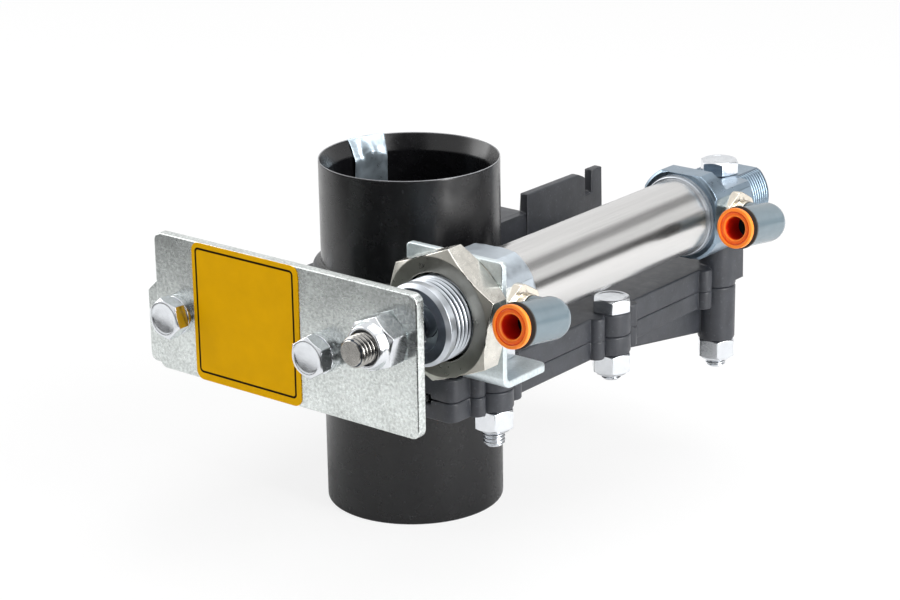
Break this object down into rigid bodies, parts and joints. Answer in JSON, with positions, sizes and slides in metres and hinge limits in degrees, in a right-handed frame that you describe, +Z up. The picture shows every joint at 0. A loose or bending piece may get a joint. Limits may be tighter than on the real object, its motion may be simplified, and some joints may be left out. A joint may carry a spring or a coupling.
{
  "type": "pneumatic slide gate valve",
  "caption": "Slide gate that shuts off a suction or conveying pipe, pushed open by an air cylinder beside it.",
  "frame": {"origin": "centre of the lower spigot's end face", "axes": "+Z up along the pipe, +X towards the air cylinder, -Y the way the gate opens"},
  "size_m": [0.1301, 0.1732, 0.0992],
  "materials": {
    "housing_plastic": "black moulded plastic, fine grain",
    "seal_rubber": "black rubber",
    "fastener_steel": "bright zinc plate",
    "sheet_steel": "galvanised sheet",
    "label_film": "yellow film",
    "head_steel": "bluish zinc plate",
    "tube_steel": "ground stainless steel",
    "rod_steel": "hard chrome",
    "piston_metal": "turned",
    "bush_bronze": "sintered bronze",
    "nose_nut_steel": "nickel plate",
    "stem_metal": "nickel plate",
    "barrel_plastic": "grey moulded plastic",
    "grip_plastic": "dark moulded plastic",
    "collar_plastic": "orange moulded plastic",
    "strip_metal": "bare foil strip"
  },
  "bodies": {
    "housing": {"upper_housing": "housing_plastic", "lower_housing": "housing_plastic", "upper_gate_seal": "seal_rubber", "lower_gate_seal": "seal_rubber", "housing_bolts": "fastener_steel", "cylinder_bolt": "fastener_steel", "housing_nuts": "fastener_steel", "cylinder_bracket": "sheet_steel", "nose_nut": "nose_nut_steel", "front_head": "head_steel", "cylinder_tube": "tube_steel", "rear_head": "head_steel", "rod_bush": "bush_bronze", "rod_seal": "seal_rubber", "earthing_strip": "strip_metal", "front_elbow_stem": "stem_metal", "rear_elbow_stem": "stem_metal"},
    "gate": {"gate_blade": "sheet_steel", "front_plate": "sheet_steel", "front_label": "label_film", "plate_bolts": "fastener_steel", "plate_washers": "fastener_steel", "plate_nuts": "fastener_steel", "piston_rod": "rod_steel", "piston": "piston_metal", "piston_seals": "seal_rubber", "rod_jam_nut": "fastener_steel", "rod_lock_nut": "fastener_steel"},
    "front_elbow": {"front_elbow_body": "barrel_plastic", "front_grip_ring": "grip_plastic", "front_tube_seal": "seal_rubber"},
    "front_collar": {"front_release_collar": "collar_plastic"},
    "rear_elbow": {"rear_elbow_body": "barrel_plastic", "rear_grip_ring": "grip_plastic", "rear_tube_seal": "seal_rubber"},
    "rear_collar": {"rear_release_collar": "collar_plastic"}
  },
  "joints": [
    {"name": "gate_slide", "type": "slide", "parent": "housing", "child": "gate", "axis": [0, -1, 0], "range_m": [0, 0.05]},
    {"name": "front_elbow_swivel", "type": "hinge", "parent": "housing", "child": "front_elbow", "pos_m": [0.071, -0.0302, 0.0752], "axis": [1, 0, 0], "continuous": true},
    {"name": "front_collar_push", "type": "slide", "parent": "front_elbow", "child": "front_collar", "axis": [0, 0.9903, -0.1392], "range_m": [0, 0.001], "stiffness_N_per_m": 600, "springref_m": -0.003},
    {"name": "rear_elbow_swivel", "type": "hinge", "parent": "housing", "child": "rear_elbow", "pos_m": [0.071, 0.071, 0.0752], "axis": [1, 0, 0], "continuous": true},
    {"name": "rear_collar_push", "type": "slide", "parent": "rear_elbow", "child": "rear_collar", "axis": [0, 0.9903, -0.1392], "range_m": [0, 0.001], "stiffness_N_per_m": 600, "springref_m": -0.003}
  ]
}
